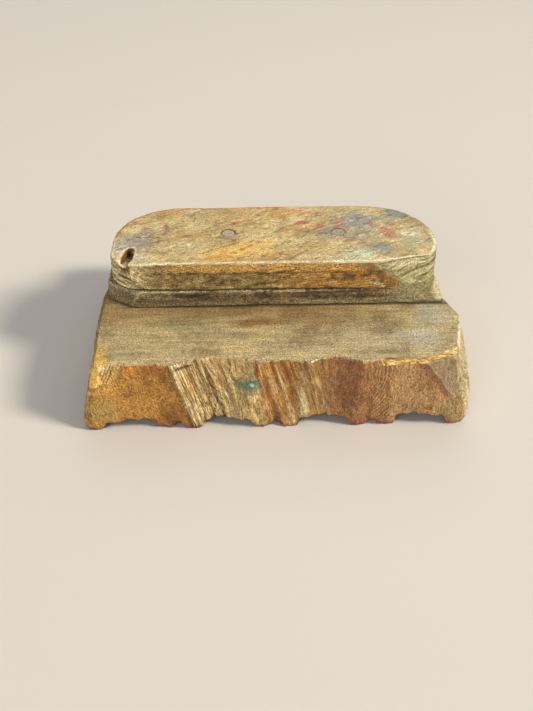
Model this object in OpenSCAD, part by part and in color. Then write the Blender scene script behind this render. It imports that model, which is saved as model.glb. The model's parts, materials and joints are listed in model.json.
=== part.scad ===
// Wooden textile printing block: a carved block with a two-board handle pegged on its back.
// +Z is up, +X runs along the handle and the front is at -Y. The printing face lies at Z = 0.

/* [Printing block] */
// Length of the printing face
block_l = 152; // [130:1:190]
// Depth of the printing face, front to back
block_w = 112; // [95:1:150]
// Thickness from the printing face up to the ledge
block_h = 31; // [26:0.5:45]
// How far the left end leans in between the printing face and the ledge
left_lean = 6; // [3:0.2:8]
// How far the right end leans in between the printing face and the ledge
right_lean = 0.4; // [0.2:0.1:4]
// How far the front and the back lean in between the printing face and the ledge
side_lean = 2.6; // [1:0.2:6]
// Width of the flat facet chopped off the front right corner, along the front ledge edge
end_facet_w = 7; // [4:0.1:9]
// Length of that facet along the right end of the ledge
end_facet_l = 32; // [20:0.5:36]
// Height of that facet at the corner
end_facet_h = 20; // [12:0.5:24]
// Length of the split along the front ledge edge, from the right end
split_l = 41; // [25:1:50]
// Width of that split at the right end
split_w = 3; // [2:0.2:5]
// Dip of that split towards the front
split_dip = 45; // [30:1:55]
// Length of the wider split at the right corner of that edge
corner_split_l = 17.5; // [14:0.5:22]
// Width of the corner split at the right end
corner_split_w = 14; // [10:0.5:16]
// Dip of the corner split towards the front
corner_split_dip = 12; // [9:1:24]

/* [Carved printing face] */
// Depth of the carved ground between the motifs
relief_depth = 3.8; // [2.5:0.1:6]
// Distance from flower to flower along the block
flower_pitch = 38; // [34:1:48]
// Distance from one row of flowers to the next
row_pitch = 27; // [24:1:36]
// Petals on a flower
flower_petals = 6; // [5:1:7]
// Reach of a flower petal from the middle of the flower
flower_reach = 9.8; // [8:0.1:11]
// Width of a flower petal
flower_petal_w = 4.4; // [3:0.1:5]
// Petals on a small filler sprig
sprig_petals = 4; // [3:1:5]
// Reach of a sprig petal from the middle of the sprig
sprig_reach = 6.2; // [4:0.1:7]
// Width of a sprig petal
sprig_petal_w = 3; // [2:0.1:4]
// Radius of the carved-out eye in the middle of a motif
eye_r = 1.2; // [0.8:0.1:1.6]
// Radius of the dots between the flowers
dot_r = 1.9; // [1:0.1:2.5]
// Distance from the edges that the tip of a petal keeps
edge_margin = 1.5; // [1:0.1:2]

/* [Handle boards] */
// Ledge left free beyond the left end of the grip
ledge_left = 4.7; // [4.6:0.1:20]
// Ledge left free beyond the right end of the grip
ledge_right = 7.5; // [7.2:0.1:20]
// Ledge left free in front of the grip
ledge_front = 38.4; // [30:0.2:45]
// Depth of the upper board, the grip, from front to back
grip_w = 47.4; // [45:0.2:58]
// Thickness of the grip
grip_t = 12.5; // [9:0.5:20]
// Radius of the two back corners of the grip
grip_back_r = 28; // [15:0.5:30]
// Radius of the front left corner of the grip
grip_front_left_r = 11; // [5:0.5:16]
// Radius of the front right corner of the grip
grip_front_right_r = 16; // [5:0.5:18]
// Thickness of the lower board, the riser
riser_t = 7.2; // [5:0.2:12]
// How far the riser stands out beyond the left end of the grip
riser_lip_left = 2; // [0.5:0.1:2.2]
// How far the riser stands out in front of the grip
riser_lip_front = 0.6; // [0.2:0.1:1.5]
// Width of the facet chopped off the front left corner of the riser, along its front
facet_w = 10; // [5:0.5:14]
// Angle of that facet to the front
facet_angle = 33; // [20:1:50]
// Lean of that facet from upright
facet_lean = 18; // [0:1:25]
// Thickness of the uncut corner left at the foot of the riser, front right
foot_t = 1.6; // [1:0.1:3]
// How far that foot reaches beyond the right end of the grip
foot_reach = 1.8; // [1:0.1:2]

/* [Pegs] */
// Diameter of a peg
peg_d = 6; // [4:0.1:9]
// Distance between the two pegs
peg_spacing = 46; // [35:0.5:70]
// Shift of the pair of pegs along the handle from its middle
peg_shift = 3.9; // [-6:0.1:6]
// Shift of the pegs towards the back from the middle of the handle
peg_set_back = 1.2; // [-4:0.1:4]
// Depth of a peg in the printing block
peg_in_block = 17; // [10:0.5:20]
// How far a peg's head has sunk below the top of the grip
peg_sink = 0.4; // [0.1:0.1:1]
// Gap between a peg and its hole, on the radius
peg_gap = 0.05; // [0.02:0.01:0.1]

/* [Worn cord notch] */
// Diameter of the notch that a hanging cord has worn in the grip
notch_d = 4.2; // [3:0.1:6]
// Length of the notch from the front of the grip
notch_l = 14; // [8:0.5:18]
// Height of the notch's axis above the top of the grip, at the front of the grip
notch_rise = 1; // [0:0.1:1.4]
// Depth of the notch's axis below the top of the grip, at its inner end
notch_drop = 2.4; // [1.5:0.1:4]
// Distance of the notch from the left end of the grip
notch_inset = 5.8; // [5:0.1:12]

/* [Hidden] */
$fn = 96;

over = 1;                          // how far a cutting shape runs past what it cuts
chop_over = 0.25;                  // share of its length that a chop runs on past its slanted ends
riser_top = block_h + riser_t;
grip_top = riser_top + grip_t;
peg_bottom = block_h - peg_in_block;
ledge_left_x = left_lean - block_l / 2;
ledge_right_x = block_l / 2 - right_lean;
ledge_half_w = block_w / 2 - side_lean;
grip_left = ledge_left_x + ledge_left;
grip_right = ledge_right_x - ledge_right;
grip_front = ledge_front - ledge_half_w;
grip_back = grip_front + grip_w;
riser_left = grip_left - riser_lip_left;
riser_front = grip_front - riser_lip_front;
peg_y = (grip_front + grip_back) / 2 + peg_set_back;
peg_x = [for (side = [-1, 1]) (grip_left + grip_right) / 2 + peg_shift + side * peg_spacing / 2];
cutter = block_l;                  // size of a cutting box, larger than whatever it trims
notch_lean = 0.18;                 // sideways run of the notch for each unit of its length
oak = "#9c7a43";
dark_oak = "#6a5a38";
pale_oak = "#b8985c";
peg_oak = "#8c7b63";

// Chops of the adze and gouge on each side of the block. Each is a swept scoop:
// [place along the side as a share of its length, bite at the ledge, bite at the printing face,
//  sweep radius, sideways lean in degrees]. A negative bite means that the scoop runs out higher up.
front_chops = [
    [-0.40, 2.2, -4.0, 9, 0],
    [-0.34, 1.2, 1.2, 60, 5],
    [-0.14, 4.2, 0.5, 34, -7],
    [0.02, 1.8, 0.6, 45, 8],
    [0.15, 3.8, 1.3, 17, -3],
    [0.31, 1.2, 0.5, 70, 4],
    [0.45, 3.2, -1.5, 24, 12]
];
back_chops = [
    [-0.34, 2.6, 0.8, 30, -6],
    [-0.17, 1.4, 1.0, 55, 4],
    [0.04, 3.2, 1.2, 26, 7],
    [0.24, 1.6, 0.6, 48, -5],
    [0.41, 2.4, -1.0, 28, 9]
];
right_chops = [
    [0.045, 4.7, -4.0, 60, 0],
    [0.36, 5.0, 0.8, 46, 5]
];
left_chops = [
    [-0.10, 0.4, -1.2, 70, 2],
    [-0.40, 2.6, 0.8, 46, -4]
];
// Chops across the four upright corners: [side along X, side along Y, bite at the ledge, bite below, radius]
corner_chops = [
    [-1, -1, 1.8, 1.0, 14],
    [1, -1, 1.0, 0.8, 16],
    [1, 1, 4.0, 1.8, 34],
    [-1, 1, 4.6, 2.2, 30]
];

// A round bar from point p to point q, run on past both ends by a share of its length.
// Its start line lies on the side that p leans out to, so a chop meets the block with a whole surface.
module bar(p, q, r, run_on = 0) {
    way = (q - p) * (1 + 2 * run_on);
    translate(p - (q - p) * run_on)
        rotate([0, -acos(way.z / norm(way)), atan2(-way.y, -way.x)])
            cylinder(r = r, h = norm(way));
}

// One chop that takes a bite out of a surface, seen from outside along the flat direction out
module chop(ledge_point, face_point, out, bite_ledge, bite_face, r) {
    p = face_point + out * (r - bite_face);
    q = ledge_point + out * (r - bite_ledge);
    slant = norm([q.x - p.x, q.y - p.y]) / (q.z - p.z);
    bar(p, q, r, chop_over + slant * r / norm(q - p));
}

// The chops along a side that faces -Y, half_w away from the middle
module side_chops(chops, length, half_w, lean_in)
    for (c = chops) {
        x = c[0] * length;
        run = block_h * tan(c[4]);
        chop([x, lean_in - half_w, block_h], [x + run, -half_w, 0], [0, -1, 0], c[1], c[2], c[3]);
    }

module corner_chop(c) {
    out = [c[0], c[1], 0] / norm([c[0], c[1]]);
    ledge_corner = [c[0] < 0 ? ledge_left_x : ledge_right_x, c[1] * ledge_half_w, block_h];
    face_corner = [c[0] * block_l / 2, c[1] * block_w / 2, 0];
    chop(ledge_corner, face_corner, out, c[2], c[3], c[4]);
}

// A bar of trapezoid section along Y: half_foot to either side at the bottom, left to right at the top
module trapezoid_bar(half_foot, left, right, length)
    rotate([90, 0, 0])
        linear_extrude(height = length, center = true)
            polygon([[-half_foot, 0], [half_foot, 0], [right, block_h], [left, block_h]]);

// The sawn blank, wider at the printing face than at the ledge
module blank() {
    intersection() {
        trapezoid_bar(block_l / 2, ledge_left_x, ledge_right_x, block_w);
        rotate([0, 0, 90])
            trapezoid_bar(block_w / 2, -ledge_half_w, ledge_half_w, block_l);
    }
}

// A splinter missing from the front ledge edge, wider towards the right end
module split_edge(length, width, dip) {
    translate([ledge_right_x - length, -ledge_half_w, block_h])
        rotate([0, 0, atan(width / length)])
            rotate([dip, 0, 0])
                translate([-over, -cutter, 0])
                    cube(cutter);
}

// The flat facet that takes off the front right corner
module end_facet() {
    inset = end_facet_w * end_facet_l / norm([end_facet_w, end_facet_l]);
    translate([ledge_right_x - end_facet_w, -ledge_half_w, block_h])
        rotate([0, 0, -atan(end_facet_w / end_facet_l)])
            rotate([0, atan(end_facet_h / inset), 0])
                translate([-cutter / 2, -cutter / 2, 0])
                    cube(cutter);
}

// One pointed petal along +X, where two arcs meet
module petal(reach, width) {
    length = reach - eye_r;
    r = (length * length / 4 + width * width / 4) / width;
    translate([eye_r + length / 2, 0])
        intersection_for (side = [-1, 1])
            translate([0, side * (r - width / 2)])
                circle(r = r);
}

function inside(p) = abs(p.x) < block_l / 2 - edge_margin && abs(p.y) < block_w / 2 - edge_margin;

// A ring of petals round the point middle, without the petals that the edge of the block would cut short
module motif(middle, petals, reach, width)
    for (i = [0 : petals - 1]) {
        turn = i * 360 / petals;
        tip = reach * [cos(turn), sin(turn)];
        if (inside(middle + tip) && inside(middle + tip / 2))
            translate(middle)
                rotate(turn)
                    petal(reach, width);
    }

// Flowers in half-drop rows, sprigs between them on the inner rows, and dots between the rows
module printing_pattern() {
    rows = round(block_w / 2 / row_pitch);
    columns = ceil(block_l / 2 / flower_pitch) + 1;
    for (row = [-rows : rows], column = [-columns : columns]) {
        shift = abs(row) % 2 == rows % 2 ? 0 : flower_pitch / 2;
        flower = [column * flower_pitch + shift, row * row_pitch];
        motif(flower, flower_petals, flower_reach, flower_petal_w);
        if (abs(row) < rows)
            motif(flower + [flower_pitch / 2, 0], sprig_petals, sprig_reach, sprig_petal_w);
        for (side = [-1, 1]) {
            dot = flower + [side * flower_pitch / 4, row_pitch / 2];
            if (row < rows && inside(dot + [sign(dot.x) * dot_r, 0]))
                translate(dot)
                    circle(r = dot_r);
        }
    }
}

// The ground that the carver has taken away between the motifs
module carved_ground() {
    translate([0, 0, -over])
        linear_extrude(height = relief_depth + over)
            difference() {
                square([block_l + 2 * over, block_w + 2 * over], center = true);
                printing_pattern();
            }
}

module peg_hole(x, from_z, to_z)
    translate([x, peg_y, from_z])
        cylinder(d = peg_d + 2 * peg_gap, h = to_z - from_z);

// What is cut away outside a rounded corner whose sides run along +X and +Y
module corner_waste(r) {
    difference() {
        translate([-over, -over])
            square(r + over);
        translate([r, r])
            circle(r = r);
    }
}

// The plan of a handle board: a rectangle with its own radius at each corner.
// left, right, front and back are the places of its four sides.
module board_plan(left, right, front, back, front_left_r, front_right_r, back_r) {
    corners = [
        [left, front, 0, front_left_r],
        [right, front, 90, front_right_r],
        [right, back, 180, back_r],
        [left, back, 270, back_r]
    ];
    difference() {
        translate([left, front])
            square([right - left, back - front]);
        for (c = corners)
            translate([c[0], c[1]])
                rotate(c[2])
                    corner_waste(c[3]);
    }
}

// The block itself, sawn, chopped round its sides and carved underneath
module printing_block() {
    color(oak)
        difference() {
            blank();
            side_chops(front_chops, block_l, block_w / 2, side_lean);
            rotate([0, 0, 180]) side_chops(back_chops, block_l, block_w / 2, side_lean);
            rotate([0, 0, 90]) side_chops(right_chops, block_w, block_l / 2, right_lean);
            rotate([0, 0, -90]) side_chops(left_chops, block_w, block_l / 2, left_lean);
            for (c = corner_chops) corner_chop(c);
            end_facet();
            split_edge(split_l, split_w, split_dip);
            split_edge(corner_split_l, corner_split_w, corner_split_dip);
            carved_ground();
            for (x = peg_x) peg_hole(x, peg_bottom, block_h + over);
        }
}

// The lower handle board, with a chopped front left corner and an uncut foot at the front right
module handle_riser() {
    color(dark_oak)
        difference() {
            union() {
                translate([0, 0, block_h])
                    linear_extrude(height = riser_t)
                        board_plan(riser_left, grip_right, riser_front, grip_back,
                            grip_front_left_r, grip_front_right_r, grip_back_r);
                translate([grip_right - grip_front_right_r, riser_front, block_h])
                    cube([grip_front_right_r + foot_reach, grip_front_right_r, foot_t]);
            }
            translate([riser_left + facet_w, riser_front, block_h])
                rotate([0, 0, -facet_angle])
                    rotate([-facet_lean, 0, 0])
                        translate([-cutter / 2, -cutter, -cutter / 2])
                            cube(cutter);
            for (x = peg_x) peg_hole(x, block_h - over, riser_top + over);
        }
}

// The upper handle board, which the palm presses on
module handle_grip() {
    notch_x = grip_left + notch_inset;
    notch_from = [notch_x, grip_front, grip_top + notch_rise];
    notch_to = [notch_x + notch_l * notch_lean, grip_front + notch_l, grip_top - notch_drop];
    color(pale_oak)
        difference() {
            translate([0, 0, riser_top])
                linear_extrude(height = grip_t)
                    board_plan(grip_left, grip_right, grip_front, grip_back,
                        grip_front_left_r, grip_front_right_r, grip_back_r);
            bar(notch_from, notch_to, notch_d / 2);
            for (x = peg_x) peg_hole(x, riser_top - over, grip_top + over);
        }
}

// One of the two pegs that hold both boards to the block
module peg(x) {
    color(peg_oak)
        translate([x, peg_y, peg_bottom])
            cylinder(d = peg_d, h = grip_top - peg_sink - peg_bottom);
}

module peg_left() peg(peg_x[0]);

module peg_right() peg(peg_x[1]);

printing_block();
handle_riser();
handle_grip();
peg_left();
peg_right();
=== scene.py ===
"""A worn wooden textile printing block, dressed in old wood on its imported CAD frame."""

import itertools
import json
import logging
import math
from dataclasses import dataclass, field
from enum import Enum
from typing import Any

import bmesh
import bpy
import numpy as np
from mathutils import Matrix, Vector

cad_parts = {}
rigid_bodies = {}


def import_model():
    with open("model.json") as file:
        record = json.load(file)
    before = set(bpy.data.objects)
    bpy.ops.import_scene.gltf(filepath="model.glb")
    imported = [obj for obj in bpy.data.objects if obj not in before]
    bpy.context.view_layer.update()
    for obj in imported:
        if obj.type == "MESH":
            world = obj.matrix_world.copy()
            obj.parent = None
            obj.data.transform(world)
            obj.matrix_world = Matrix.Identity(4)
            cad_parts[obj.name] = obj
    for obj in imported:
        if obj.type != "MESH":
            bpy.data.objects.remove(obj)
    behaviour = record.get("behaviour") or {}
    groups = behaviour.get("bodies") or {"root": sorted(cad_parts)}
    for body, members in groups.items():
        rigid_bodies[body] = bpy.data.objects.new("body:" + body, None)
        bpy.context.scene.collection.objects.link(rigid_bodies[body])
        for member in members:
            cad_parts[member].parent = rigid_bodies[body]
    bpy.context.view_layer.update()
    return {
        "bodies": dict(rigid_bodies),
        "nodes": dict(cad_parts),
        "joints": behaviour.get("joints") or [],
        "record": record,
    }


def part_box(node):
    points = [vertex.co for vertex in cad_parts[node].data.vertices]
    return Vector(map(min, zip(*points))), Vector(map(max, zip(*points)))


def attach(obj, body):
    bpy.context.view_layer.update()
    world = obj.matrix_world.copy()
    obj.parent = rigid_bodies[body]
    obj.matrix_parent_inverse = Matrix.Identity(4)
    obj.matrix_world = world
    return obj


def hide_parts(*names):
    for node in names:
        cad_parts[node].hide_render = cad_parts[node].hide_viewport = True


LOG = logging.getLogger("printing_block")
Array = np.ndarray
Pair = tuple[float, float]
Triple = tuple[float, float, float]

# A millimetre in metres.
MM = 0.001
# Places that several pieces share, in millimetres.
HALF_LENGTH = 76.0
HALF_DEPTH = 56.0
LEDGE_HEIGHT = 31.0
HANDLE_FRONT = -15.4
GRIP_TOP = 50.7
PEG_MIDDLES = ((-17.7, 9.9), (28.3, 9.9))
# The dirt of years in joints and hollows, and the painted shade that falls there.
GRIME_AND_SHADE_HEX = "#2B2013"


def linear(hex_colour: str) -> Array:
    """Turn an sRGB hex colour such as "#A5753A" to linear red, green and blue from 0 to 1."""
    srgb = np.array([int(hex_colour[at:at + 2], 16) for at in (1, 3, 5)]) / 255
    return np.where(srgb <= 0.04045, srgb / 12.92, ((srgb + 0.055) / 1.055) ** 2.4)


def rise(low: float | Array, high: float | Array, value: Array) -> Array:
    """Rise smoothly from 0 at low to 1 at high, which may be the smaller one."""
    part = np.clip((value - low) / (high - low), 0, 1)
    return part * part * (3 - 2 * part)


def between(start: float, full: float, waning: float, end: float, value: Array) -> Array:
    """Rise smoothly from 0 at start to 1 at full, and fall from waning to 0 again at end."""
    return rise(start, full, value) * rise(end, waning, value)


def add_node(tree: bpy.types.NodeTree, kind: str, settings: dict[str, Any],
             links: dict[str | int, Any]) -> bpy.types.Node:
    """Add a shader node.

    Args:
        tree: The material's node tree.
        kind: Blender's name for the kind of node, without ShaderNode.
        settings: Properties of the node by name.
        links: A value or a source socket for each input, by name or number.

    Returns:
        The new node.
    """
    made = tree.nodes.new(f"ShaderNode{kind}")
    for name, value in settings.items():
        setattr(made, name, value)
    for name, value in links.items():
        if isinstance(value, bpy.types.NodeSocket):
            tree.links.new(value, made.inputs[name])
        else:
            made.inputs[name].default_value = value
    return made


def add_object(name: str, data: bpy.types.ID) -> bpy.types.Object:
    """Make an object and put it in the scene.

    Args:
        name: Name of the object.
        data: Its mesh, lamp or lens.

    Returns:
        The new object.
    """
    made = bpy.data.objects.new(name, data)
    bpy.context.scene.collection.objects.link(made)
    return made


def soften(shape: bmesh.types.BMesh, points: Any, rounds: int) -> None:
    """Draw points of a mesh towards their neighbours, a number of times over."""
    for _ in range(rounds):
        bmesh.ops.smooth_vert(shape, verts=points, factor=0.5,
                              use_axis_x=True, use_axis_y=True, use_axis_z=True)


class WoodNoise:
    """Smooth noise on a repeating lattice, the same on every run."""

    # Moves each finer layer, so that the lattices don't meet at their points.
    SHIFT = 5.37
    # Stretches the noise and its crests to about -1 to 1.
    GAIN = 1.6

    def __init__(self, seed: int, cells: int = 64) -> None:
        """Fill the lattice from a seed."""
        self.cells = cells
        self.lattice = np.random.default_rng(seed).uniform(-1, 1, (cells, cells, cells))

    def layer(self, grid: Array) -> Array:
        """Read the lattice between its points.

        Args:
            grid: Places counted in lattice cells, one to a row.

        Returns:
            A value from -1 to 1 for each place.
        """
        low = np.floor(grid).astype(int)
        part = rise(0, 1, grid - low)
        total = np.zeros(len(grid))
        for corner in itertools.product((0, 1), repeat=3):
            share = np.where(np.array(corner) == 1, part, 1 - part).prod(axis=1)
            at = (low + corner) % self.cells
            total += share * self.lattice[at[:, 0], at[:, 1], at[:, 2]]
        return total

    def __call__(self, places: Array, period: Triple, layers: int = 1) -> Array:
        """Give noise with a set size of lump.

        Args:
            places: Places in millimetres, one to a row.
            period: Size of a lump along X, Y and Z in millimetres.
            layers: How many times finer and weaker noise is added.

        Returns:
            A value of about -1 to 1 for each place.
        """
        grid = places / np.array(period)
        parts = [self.layer(grid * 2 ** turn + self.SHIFT * turn) * 0.5 ** turn for turn in range(layers)]
        return self.GAIN * sum(parts) / (2 - 0.5 ** (layers - 1))

    def ridges(self, places: Array, period: Triple, layers: int = 1) -> Array:
        """Give 1 on narrow crests and less between them, as split fibres stand up."""
        return 1 - np.abs(self(places, period, layers)) * self.GAIN


@dataclass(frozen=True)
class Stain:
    """A blot on a face, with its middle and reach in millimetres along two axes of the face."""

    across: float
    up: float
    reach_across: float
    reach_up: float
    hex_colour: str
    strength: float
    turn: float = 0.0
    faint_at: float = 1.15
    full_at: float = 0.3
    fray: float = 0.55

    def weight(self, across: Array, up: Array, ragged: Array) -> Array:
        """Tell how strongly the blot covers each point.

        Args:
            across: First place of each point on the face.
            up: Second place of each point on the face.
            ragged: Noise that frays the edge.

        Returns:
            A weight from 0 to the blot's strength.
        """
        cos, sin = math.cos(math.radians(self.turn)), math.sin(math.radians(self.turn))
        first, second = across - self.across, up - self.up
        away = np.hypot((first * cos + second * sin) / self.reach_across,
                        (second * cos - first * sin) / self.reach_up)
        return self.strength * rise(self.faint_at, self.full_at, away + self.fray * ragged)


@dataclass(frozen=True)
class FaceLine:
    """A slanting line on a face: a point on it in millimetres, and its share of each axis of the face."""

    across: float
    up: float
    by_across: float
    by_up: float

    def past(self, across: Array, up: Array) -> Array:
        """Tell how far past the line each point lies."""
        return (across - self.across) * self.by_across + (up - self.up) * self.by_up


class Skin:
    """The points of a piece's mesh as arrays in millimetres."""

    def __init__(self, mesh: bpy.types.Mesh, noise: WoodNoise) -> None:
        """Read the points, edges and normals of a mesh, and keep the noise of its piece."""
        self.mesh = mesh
        self.noise = noise
        self.places = self._read(mesh.vertices, "co", 3, np.float32).astype(float) / MM
        self.edges = self._read(mesh.edges, "vertices", 2, np.int32)
        self.normals = self._read(mesh.vertex_normals, "vector", 3, np.float32).astype(float)

    @staticmethod
    def _read(source: Any, name: str, width: int, kind: type) -> Array:
        """Read one property of all items, with one item to a row."""
        source.foreach_get(name, flat := np.empty(len(source) * width, dtype=kind))
        return flat.reshape(-1, width)

    def move(self, offsets: Array, low: Array, high: Array) -> None:
        """Move the points, and keep them inside a box.

        Args:
            offsets: The move of each point in millimetres.
            low: Lowest corner of the box.
            high: Highest corner of the box.
        """
        self.places = np.clip(self.places + offsets, low, high)
        self.mesh.vertices.foreach_set("co", (self.places * MM).astype(np.float32).ravel())
        self.mesh.update()
        self.normals = self._read(self.mesh.vertex_normals, "vector", 3, np.float32).astype(float)

    def spread(self, values: Array, rounds: int) -> Array:
        """Average a value with the neighbours of each point.

        Args:
            values: One value to a point.
            rounds: How many times it is done.

        Returns:
            The evened values.
        """
        one, two = self.edges.T
        size = len(self.places)
        count = np.bincount(one, minlength=size) + np.bincount(two, minlength=size)
        for _ in range(rounds):
            total = np.bincount(one, values[two], size) + np.bincount(two, values[one], size)
            values = 0.5 * values + 0.5 * total / np.maximum(count, 1)
        return values

    def bulge(self, rounds: int) -> Array:
        """Tell how far each point stands out of the points some rounds wide about it, in millimetres."""
        evened = np.stack([self.spread(row, rounds) for row in self.places.T], axis=1)
        return ((self.places - evened) * self.normals).sum(axis=1)

    def lumps(self, period: Triple, shift: float = 0.0, layers: int = 2) -> Array:
        """Give noise on the points, with a shift in millimetres that makes it differ from others."""
        return self.noise(self.places + shift, period, layers)

    def upright(self) -> Array:
        """Tell how far each point belongs to an upright side."""
        return rise(0.4, 0.8, np.hypot(self.normals[:, 0], self.normals[:, 1]))

    def off_pegs(self, near: float, far: float) -> Array:
        """Give 0 nearer to the pegs' middles than near and 1 farther than far, in millimetres."""
        away = [np.hypot(self.places[:, 0] - peg[0], self.places[:, 1] - peg[1]) for peg in PEG_MIDDLES]
        return np.prod([rise(near, far, one) for one in away], axis=0)

    def keep(self, **values: Array) -> None:
        """Keep values on the points for the material to read.

        Args:
            values: One value to a point, or one colour or place to a row, by name of the attribute.
        """
        for name, rows in values.items():
            kind, part = ("FLOAT", "value") if rows.ndim == 1 else ("FLOAT_VECTOR", "vector")
            layer = self.mesh.attributes.new(name, kind, "POINT")
            layer.data.foreach_set(part, rows.astype(np.float32).ravel())


@dataclass
class Coat:
    """Colours laid over each other on the points of a piece, with the noise that breaks them up."""

    skin: Skin
    ground_hex: str
    cloud: Array
    fleck: Array
    colours: Array = field(init=False, repr=False)

    def __post_init__(self) -> None:
        """Start from the ground colour on all points."""
        self.colours = np.tile(linear(self.ground_hex), (len(self.skin.places), 1))

    def lay(self, hex_colour: str, weight: Array) -> None:
        """Draw the colours towards another one by a weight from 0 to 1."""
        self.colours += (linear(hex_colour) - self.colours) * np.clip(weight, 0, 1)[:, None]

    def cover(self, other: "Coat", weight: Array) -> None:
        """Lay another coat over this one by a weight from 0 to 1."""
        self.colours += (other.colours - self.colours) * weight[:, None]

    def blot(self, stains: tuple[Stain, ...], face: tuple[Array, Array],
             ragged: Array, share: Array) -> None:
        """Lay blots on a face, frayed by ragged noise, as far as each point has a share in it."""
        for stain in stains:
            self.lay(stain.hex_colour, share * stain.weight(*face, ragged))


@dataclass(frozen=True)
class WoodFinish:
    """Old bare hardwood: dull, with streaks along its grain, specks and open pores."""

    name: str
    grain_mm: Triple
    pore_mm: Triple
    speck_mm: Triple
    streak: float
    split: float
    speck: float
    grit: float
    pore: float
    bump_mm: float
    roughness: Pair
    crease: float = 0.0
    pore_hex: str = "#33261A"
    saw_mm: Triple = (18.0, 1.5, 18.0)
    parting: float = 1.3
    gain: float = 5.0
    darkest: float = 0.12
    ior: float = 1.5

    def noises(self) -> tuple[tuple[str, Triple, float], ...]:
        """List the noises of the shader.

        Returns:
            Rows of a name, the size of a lump in millimetres and how much finer detail it has.
        """
        # Real pores are a tenth of a millimetre wide, and saw marks on the ledge are less than one
        # apart; both are drawn wide enough to show.
        return (
            ("specks", self.speck_mm, 2),
            ("along", self.grain_mm, 4),
            ("saw", self.saw_mm, 4),
            ("pores", self.pore_mm, 2),
            ("parted", tuple(self.parting * size for size in self.grain_mm), 1),
        )

    def steps(self) -> tuple[tuple[Any, ...], ...]:
        """List the sums of the shader.

        Returns:
            Rows of a result, an operation and its inputs. A pair of numbers in place of the operation
            is a smooth rise from 0 at the first to 1 at the second.
        """
        return (
            ("pits", (0.42, 0.30), "pores"),
            # Split fibres part along thin dark lines, a millimetre or two apart.
            ("parted", "SUBTRACT", "parted", 0.5),
            ("parted", "ABSOLUTE", "parted"),
            ("lines", (0.045, 0.01), "parted"),
            ("splits", (0.35, 0.9), "fibre"),
            ("creases", "MULTIPLY", "splits", "lines"),
            # Streaks and specks make the colour lighter and darker.
            ("contrast", "MULTIPLY_ADD", "fibre", self.split, self.streak),
            ("contrast", "MULTIPLY", "contrast", self.gain),
            ("streaks", "SUBTRACT", "figure", 0.5),
            ("streaks", "MULTIPLY_ADD", "streaks", "contrast", 1),
            ("gritty", "MULTIPLY_ADD", "rough", self.grit, self.speck),
            ("gritty", "MULTIPLY", "gritty", self.gain),
            ("glints", "SUBTRACT", "specks", 0.5),
            ("glints", "MULTIPLY_ADD", "glints", "gritty", 1),
            ("shade", "MULTIPLY", "streaks", "glints"),
            ("shade", "MAXIMUM", "shade", self.darkest),
            # Pores and creases are dark.
            ("dark_pits", "MULTIPLY", "pits", self.pore),
            ("dark_lines", "MULTIPLY", "creases", self.crease),
            ("dark", "MAXIMUM", "dark_pits", "dark_lines"),
            # Crests and grains stand up, pores and creases go down.
            ("crests", "MULTIPLY_ADD", "fibre", 1.2, 1),
            ("crests", "MULTIPLY", "figure", "crests"),
            ("grains", "MULTIPLY_ADD", "rough", 0.8, 0.5),
            ("grains", "MULTIPLY", "specks", "grains"),
            ("height", "ADD", "grains", "crests"),
            ("height", "MULTIPLY_ADD", "pits", -0.4, "height"),
            ("height", "MULTIPLY_ADD", "creases", -self.crease, "height"),
        )

    def make(self) -> bpy.types.Material:
        """Build the material.

        Returns:
            A material that reads five attributes of its piece: tint is the colour, grain the place
            in the wood, fibre how far it is split, rough how gritty it is, and sawn how far saw
            marks cross it.
        """
        material = bpy.data.materials.new(self.name)
        material.use_nodes = True
        tree = material.node_tree
        tree.nodes.clear()
        made: dict[str, Any] = {}
        for name, output in (("tint", "Vector"), ("grain", "Vector"), ("fibre", "Fac"),
                             ("rough", "Fac"), ("sawn", "Fac")):
            made[name] = add_node(tree, "Attribute", {"attribute_name": name}, {}).outputs[output]
        for name, size_mm, detail in self.noises():
            placed = add_node(tree, "Mapping", {"vector_type": "TEXTURE"}, {
                "Vector": made["grain"], "Scale": size_mm})
            made[name] = add_node(tree, "TexNoise", {}, {
                "Vector": placed.outputs[0], "Scale": 1.0, "Detail": detail, "Roughness": 0.6}).outputs[0]
        made["figure"] = add_node(tree, "Mix", {"data_type": "FLOAT"}, {
            0: made["sawn"], 2: made["along"], 3: made["saw"]}).outputs[0]
        for name, step, *inputs in self.steps():
            values = [made[value] if isinstance(value, str) else value for value in inputs]
            if isinstance(step, str):
                node = add_node(tree, "Math", {"operation": step}, dict(enumerate(values)))
            else:
                node = add_node(tree, "MapRange", {"interpolation_type": "SMOOTHSTEP"}, {
                    "Value": values[0], "From Min": step[0], "From Max": step[1]})
            made[name] = node.outputs[0]
        streaked = add_node(tree, "VectorMath", {"operation": "SCALE"}, {
            0: made["tint"], "Scale": made["shade"]})
        colour = add_node(tree, "Mix", {"data_type": "RGBA"}, {
            0: made["dark"], 6: streaked.outputs[0], 7: (*linear(self.pore_hex), 1)})
        dullness = add_node(tree, "MapRange", {}, {
            "Value": made["figure"], "From Min": 0.3, "From Max": 0.7,
            "To Min": self.roughness[1], "To Max": self.roughness[0]})
        bump = add_node(tree, "Bump", {}, {
            "Strength": 1.0, "Distance": self.bump_mm * MM, "Height": made["height"]})
        shader = add_node(tree, "BsdfPrincipled", {}, {
            "Base Color": colour.outputs[2], "Roughness": dullness.outputs[0], "IOR": self.ior,
            "Normal": bump.outputs[0]})
        add_node(tree, "OutputMaterial", {}, {"Surface": shader.outputs[0]})
        return material


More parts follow.
